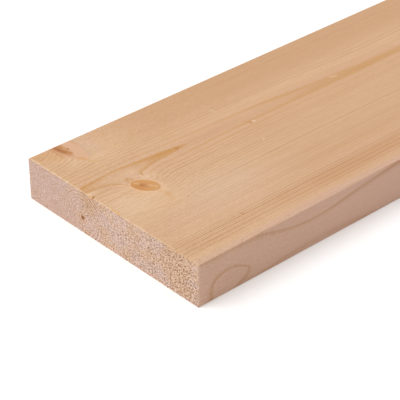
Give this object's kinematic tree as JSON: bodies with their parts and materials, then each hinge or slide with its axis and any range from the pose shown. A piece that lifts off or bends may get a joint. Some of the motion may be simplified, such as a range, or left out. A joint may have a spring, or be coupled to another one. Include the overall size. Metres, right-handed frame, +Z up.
{
  "type": "timber lumber plank",
  "caption": "Planed softwood plank with square sawn ends and lightly eased long edges, cut from one log, for shelving, boarding and joinery.",
  "frame": {"origin": "centre of the underside, on the floor that the plank lies on", "axes": "+X along the grain, away from the end that the picture shows; +Y across the width, away from the long edge that the picture shows; +Z up through the thickness"},
  "size_m": [1.8, 0.144, 0.027],
  "materials": {
    "softwood": "matte"
  },
  "bodies": {
    "root": {"plank": "softwood"}
  },
  "joints": []
}
